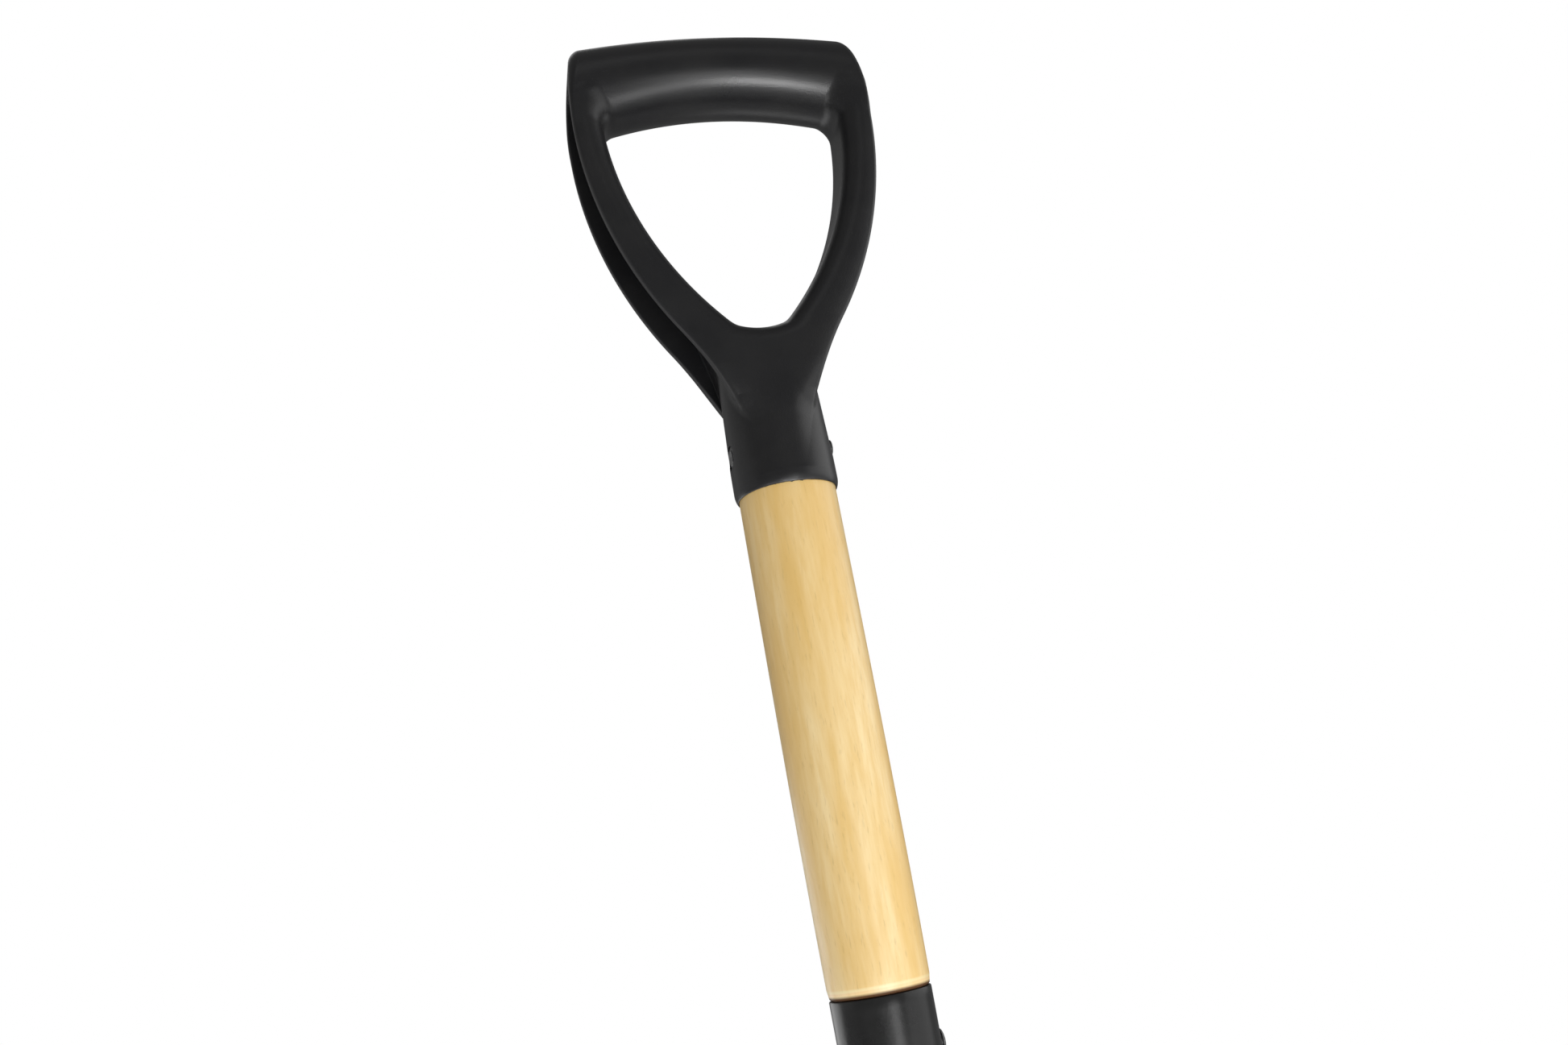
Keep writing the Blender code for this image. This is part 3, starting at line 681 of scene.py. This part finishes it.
class Nodes:
    """Short helpers for building one material's node tree."""

    def __init__(self, name):
        self.material = bpy.data.materials.new(name)
        self.material.use_nodes = True
        self.tree = self.material.node_tree
        self.shader = self.tree.nodes["Principled BSDF"]
        self.position = self.add("ShaderNodeTexCoord").outputs["Object"]

    def add(self, kind, inputs=None, **settings):
        node = self.tree.nodes.new(kind)
        for key, value in settings.items():
            setattr(node, key, value)
        for key, value in (inputs or {}).items():
            self.put(node.inputs[key], value)
        return node

    def put(self, socket, value):
        if isinstance(value, bpy.types.NodeSocket):
            self.tree.links.new(value, socket)
        else:
            socket.default_value = value

    def set(self, **values):
        for key, value in values.items():
            self.put(self.shader.inputs[key.replace("_", " ")], value)

    def stretched(self, x, y, z):
        return self.add("ShaderNodeMapping", {"Vector": self.position, "Scale": (x, y, z)}).outputs["Vector"]

    def noise(self, vector, scale, detail, roughness):
        inputs = {"Vector": vector, "Scale": scale, "Detail": detail, "Roughness": roughness}
        return self.add("ShaderNodeTexNoise", inputs).outputs["Fac"]

    def remap(self, value, low, high, new_low=0.0, new_high=1.0, smooth=False):
        inputs = {"Value": value, "From Min": low, "From Max": high, "To Min": new_low, "To Max": new_high}
        node = self.add("ShaderNodeMapRange", inputs)
        if smooth:
            node.interpolation_type = "SMOOTHSTEP"
        return node.outputs["Result"]

    def mix(self, share, a, b):
        """Colour a turning into colour b. The colour sockets come after those for numbers and vectors."""
        node = self.add("ShaderNodeMix", data_type="RGBA")
        self.put(node.inputs["Factor"], share)
        self.put(node.inputs[6], a)
        self.put(node.inputs[7], b)
        return node.outputs[2]

    def maths(self, operation, a, b=0.0):
        return self.add("ShaderNodeMath", {0: a, 1: b}, operation=operation).outputs["Value"]

    def bump(self, height, strength, distance):
        inputs = {"Height": height, "Strength": strength, "Distance": distance}
        return self.add("ShaderNodeBump", inputs).outputs["Normal"]

    def axis(self, name):
        return self.add("ShaderNodeSeparateXYZ", {"Vector": self.position}).outputs[name]


def grey(value):
    return (value, value, value, 1.0)


def plastic_material():
    """Black polypropylene with a fine moulded texture, its grip a little polished by hands."""
    n = Nodes("black_plastic")
    fine = n.noise(n.position, 1900.0, 2.0, 0.6)
    cloud = n.noise(n.position, 45.0, 3.0, 0.55)
    colour = n.mix(n.remap(cloud, 0.35, 0.65), (0.0125, 0.0125, 0.0135, 1), (0.0165, 0.0163, 0.0168, 1))
    polish = n.remap(n.axis("Z"), RIM_Z + 0.150, RIM_Z + 0.175, 0.0, 0.02)
    roughness = n.maths("SUBTRACT", n.remap(cloud, 0.3, 0.7, 0.29, 0.35), polish)
    n.set(Base_Color=colour, Roughness=roughness, Normal=n.bump(fine, 0.22, 0.0002))
    return n.material


def wood_material():
    """Lacquered pale hardwood: long soft figure, short fine flecks along the grain, clear coat.

    Painted shade darkens it towards the collar, painted highlight makes the shoulder pale with a bright
    edge, and the joint with the socket is brown.
    """
    n = Nodes("pale_hardwood")
    figure = n.noise(n.stretched(75.0, 75.0, 9.0), 1.0, 4.0, 0.55)
    streak = n.noise(n.stretched(380.0, 380.0, 50.0), 1.0, 4.0, 0.6)
    fleck = n.noise(n.stretched(1250.0, 1250.0, 190.0), 1.0, 2.0, 0.5)
    pale = (0.97, 0.76, 0.41, 1)
    gold = (0.84, 0.56, 0.195, 1)
    brown = (0.46, 0.27, 0.085, 1)
    colour = n.mix(n.remap(figure, 0.38, 0.66), pale, gold)
    colour = n.mix(n.maths("MULTIPLY", n.remap(streak, 0.42, 0.66), 0.60), colour, gold)
    colour = n.mix(n.maths("MULTIPLY", n.remap(fleck, 0.58, 0.78, smooth=True), 0.26), colour, brown)
    # painted shade: the wood turns darker and more golden towards the collar, where less light falls
    collar_shade = n.remap(n.axis("Z"), RIM_Z - 0.10, RIM_Z, 0.0, 0.40)
    colour = n.mix(collar_shade, colour, (0.78, 0.49, 0.14, 1))
    above_socket = n.maths("SUBTRACT", n.axis("Z"), SOCKET_RIM_Z)
    # painted highlight: the shoulder ring is paler, and its top edge gets a bright line where light catches
    # it
    shoulder = n.remap(above_socket, SHOULDER_H, SHOULDER_H + SHOULDER_SLOPE_H, 0.35, 0.0, smooth=True)
    colour = n.mix(shoulder, colour, (0.97, 0.74, 0.45, 1))
    from_ridge = n.maths("ABSOLUTE", n.maths("SUBTRACT", above_socket, SHOULDER_H + SHOULDER_EDGE))
    ridge_highlight = n.remap(from_ridge, 0.0001, 0.0008, 0.40, 0.0, smooth=True)
    colour = n.mix(ridge_highlight, colour, (1.0, 0.90, 0.56, 1))
    joint = n.remap(above_socket, 0.0008, 0.0020, 0.95, 0.0, smooth=True)
    colour = n.mix(joint, colour, (0.060, 0.016, 0.005, 1))
    n.set(Base_Color=colour, Roughness=n.remap(streak, 0.3, 0.7, 0.38, 0.50))
    n.set(Normal=n.bump(fleck, 0.10, 0.0003))
    n.set(Coat_Weight=n.remap(joint, 0.0, 0.95, 0.25, 0.0), Coat_Roughness=0.28)
    n.set(Specular_IOR_Level=n.remap(joint, 0.0, 0.95, 0.5, 0.1))
    return n.material


def paint_material(name, worn):
    """Black powder coat with an orange-peel skin.

    Where worn, bare brushed steel shows towards the cutting edge.
    """
    n = Nodes(name)
    peel = n.noise(n.position, 420.0, 2.0, 0.5)
    cloud = n.noise(n.position, 30.0, 4.0, 0.6)
    colour = n.mix(n.remap(cloud, 0.35, 0.65), grey(0.010), grey(0.015))
    roughness = n.remap(cloud, 0.3, 0.7, 0.25, 0.32)
    metal = 0.0
    if worn:
        scratch = n.noise(n.stretched(900.0, 900.0, 18.0), 1.0, 3.0, 0.6)
        height = n.maths("ADD", n.axis("Z"), n.remap(cloud, 0.0, 1.0, -0.030, 0.030))
        bare = n.remap(height, 0.004, 0.014, 1.0, 0.0, smooth=True)
        colour = n.mix(bare, colour, n.mix(scratch, grey(0.30), grey(0.55)))
        roughness = n.maths("ADD", roughness, n.maths("MULTIPLY", bare, -0.08))
        metal = bare
    n.set(Base_Color=colour, Roughness=roughness, Metallic=metal, Normal=n.bump(peel, 0.10, 0.0004))
    return n.material


def rivet_material():
    """Dull grey coated steel, the coat rubbed thin in places."""
    n = Nodes("coated_rivet")
    cloud = n.noise(n.position, 260.0, 3.0, 0.6)
    colour = n.mix(n.remap(cloud, 0.45, 0.65), grey(0.13), grey(0.24))
    n.set(Base_Color=colour, Roughness=n.remap(cloud, 0.3, 0.7, 0.34, 0.48), Metallic=0.35)
    n.set(Normal=n.bump(cloud, 0.12, 0.0003))
    return n.material


def floor_material():
    """Pale. A glow that only the camera sees evens out the patches of light on it."""
    n = Nodes("pale_floor")
    cloud = n.noise(n.position, 3.0, 3.0, 0.5)
    n.set(Base_Color=n.mix(cloud, grey(0.80), grey(0.84)), Roughness=0.9)
    seen = n.add("ShaderNodeLightPath").outputs["Is Camera Ray"]
    n.set(Emission_Color=grey(1.0), Emission_Strength=n.maths("MULTIPLY", seen, 0.6))
    return n.material


# ---- studio ------------------------------------------------------------------------------------------

HANDLE_AIM_Z = RIM_Z + 0.10
WORLD_STRENGTH = 0.16
FLOOR_R = 2.2
FLOOR_DROP = 0.0005             # below the cutting edge


def build_floor():
    bm = bmesh.new()
    bmesh.ops.create_circle(bm, cap_ends=True, segments=96, radius=FLOOR_R)
    mesh = bpy.data.meshes.new("floor")
    bm.to_mesh(mesh)
    bm.free()
    mesh.materials.append(floor_material())
    floor = link_object("floor", mesh)
    floor.location.z = CAD_BOX[0].z - FLOOR_DROP


def build_world():
    """White behind everything, and a softer even light on the object."""
    world = bpy.data.worlds.new("studio")
    bpy.context.scene.world = world
    world.use_nodes = True
    tree = world.node_tree
    tree.nodes.clear()
    seen = tree.nodes.new("ShaderNodeBackground")
    seen.inputs["Color"].default_value = (1, 1, 1, 1)
    light = tree.nodes.new("ShaderNodeBackground")
    light.inputs["Color"].default_value = (1, 1, 1, 1)
    light.inputs["Strength"].default_value = WORLD_STRENGTH
    path = tree.nodes.new("ShaderNodeLightPath")
    mix = tree.nodes.new("ShaderNodeMixShader")
    out = tree.nodes.new("ShaderNodeOutputWorld")
    tree.links.new(path.outputs["Is Camera Ray"], mix.inputs["Fac"])
    tree.links.new(light.outputs["Background"], mix.inputs[1])
    tree.links.new(seen.outputs["Background"], mix.inputs[2])
    tree.links.new(mix.outputs["Shader"], out.inputs["Surface"])


def add_light(name, azimuth, elevation, distance, size, radiance, aim_z=HANDLE_AIM_Z):
    """A soft rectangular light aimed at the shaft's axis, its size as width and height.

    The angles are in degrees. Azimuth 0 is in front and 90 on the right.
    """
    a, e = math.radians(azimuth), math.radians(elevation)
    offset = distance * Vector((math.sin(a) * math.cos(e), -math.cos(a) * math.cos(e), math.sin(e)))
    data = bpy.data.lights.new(name, "AREA")
    data.shape = "RECTANGLE"
    data.size, data.size_y = size
    data.energy = radiance * math.pi * size[0] * size[1]
    lamp = link_object(name, data)
    lamp.location = Vector((0, 0, aim_z)) + offset
    lamp.rotation_euler = (-offset).to_track_quat("-Z", "Y").to_euler()
    lamp.visible_camera = False


def build_lights():
    """Weak panels all round, and a strong one low in front, which makes the highlight on the grip."""
    add_light("low_front", 0, -44, 1.2, (0.51, 0.48), 14.5)
    add_light("low_front_right", 40, -42, 1.2, (0.51, 0.42), 3.4)
    add_light("low_front_left", -50, -42, 1.2, (0.51, 0.42), 2.4)
    add_light("lip_front", 11, -20, 1.2, (0.40, 0.42), 2.4)
    add_light("low_back", 180, -42, 1.2, (0.51, 0.42), 1.1)
    add_light("low_back_left", -120, -42, 1.2, (0.51, 0.42), 0.8)
    add_light("right_front", 56, 5, 1.2, (0.65, 0.65), 0.85)
    add_light("right_panel", 92, 12, 1.2, (1.0, 1.0), 1.0)
    add_light("left_panel", -112, 8, 1.2, (1.7, 1.0), 0.20)
    add_light("top_back", 180, 52, 1.2, (0.51, 0.42), 0.8)
    add_light("top_front", 0, 50, 1.2, (0.51, 0.42), 0.35)
    add_light("socket_left", -142, -4, 0.6, (0.50, 0.30), 1.5, SOCKET_RIM_Z)
    add_light("shaft_left", -95, -30, 0.6, (0.35, 0.30), 1.3, SOCKET_RIM_Z)
    add_light("socket_right", 68, -10, 0.8, (1.00, 0.30), 0.7, SOCKET_RIM_Z)


CAMERA_YAW = 0.2368
CAMERA_PITCH = 0.2663
CAMERA_ROLL = -0.1823
CAMERA_PLACE = (-0.11935, -0.48107, -0.14589)       # from the middle of the collar rim
CAMERA_LENS = 30.709                                # for a sensor of 36 mm
CAMERA_SHIFT = (-0.00026, 0.00119)                  # as shares of the picture's width


def build_camera():
    """Below the handle and on its left, close, and looking up at it."""
    data = bpy.data.cameras.new("camera")
    data.sensor_width = 36.0
    data.lens = CAMERA_LENS
    data.clip_start = 0.01
    data.shift_x, data.shift_y = CAMERA_SHIFT
    camera = link_object("camera", data)
    forward = Vector((math.sin(CAMERA_YAW) * math.cos(CAMERA_PITCH),
                      math.cos(CAMERA_YAW) * math.cos(CAMERA_PITCH), math.sin(CAMERA_PITCH)))
    level = Vector((math.cos(CAMERA_YAW), -math.sin(CAMERA_YAW), 0.0))
    upright = level.cross(forward)
    right = math.cos(CAMERA_ROLL) * level + math.sin(CAMERA_ROLL) * upright
    up = -math.sin(CAMERA_ROLL) * level + math.cos(CAMERA_ROLL) * upright
    turn = Matrix((right, up, -forward)).transposed()
    camera.matrix_world = Matrix.Translation(Vector(CAMERA_PLACE) + Vector((0, 0, RIM_Z))) @ turn.to_4x4()
    bpy.context.scene.camera = camera


def build_studio():
    build_floor()
    build_world()
    build_lights()
    build_camera()
    bpy.context.scene.view_settings.view_transform = "Standard"


# ---- everything --------------------------------------------------------------------------------------

def build_spade():
    paint = paint_material("black_coat", worn=False)
    blade_paint = paint_material("black_coat_worn", worn=True)
    rivets = rivet_material()
    build_handle(plastic_material())
    build_shaft(wood_material())
    build_socket(paint)
    build_blade(blade_paint)
    build_tread("tread_left", paint)
    build_tread("tread_right", paint)
    build_handle_rivet(rivets)
    build_washer(rivets)
    build_socket_rivet("socket_rivet_upper", rivets)
    build_socket_rivet("socket_rivet_lower", rivets)


build_spade()
build_studio()
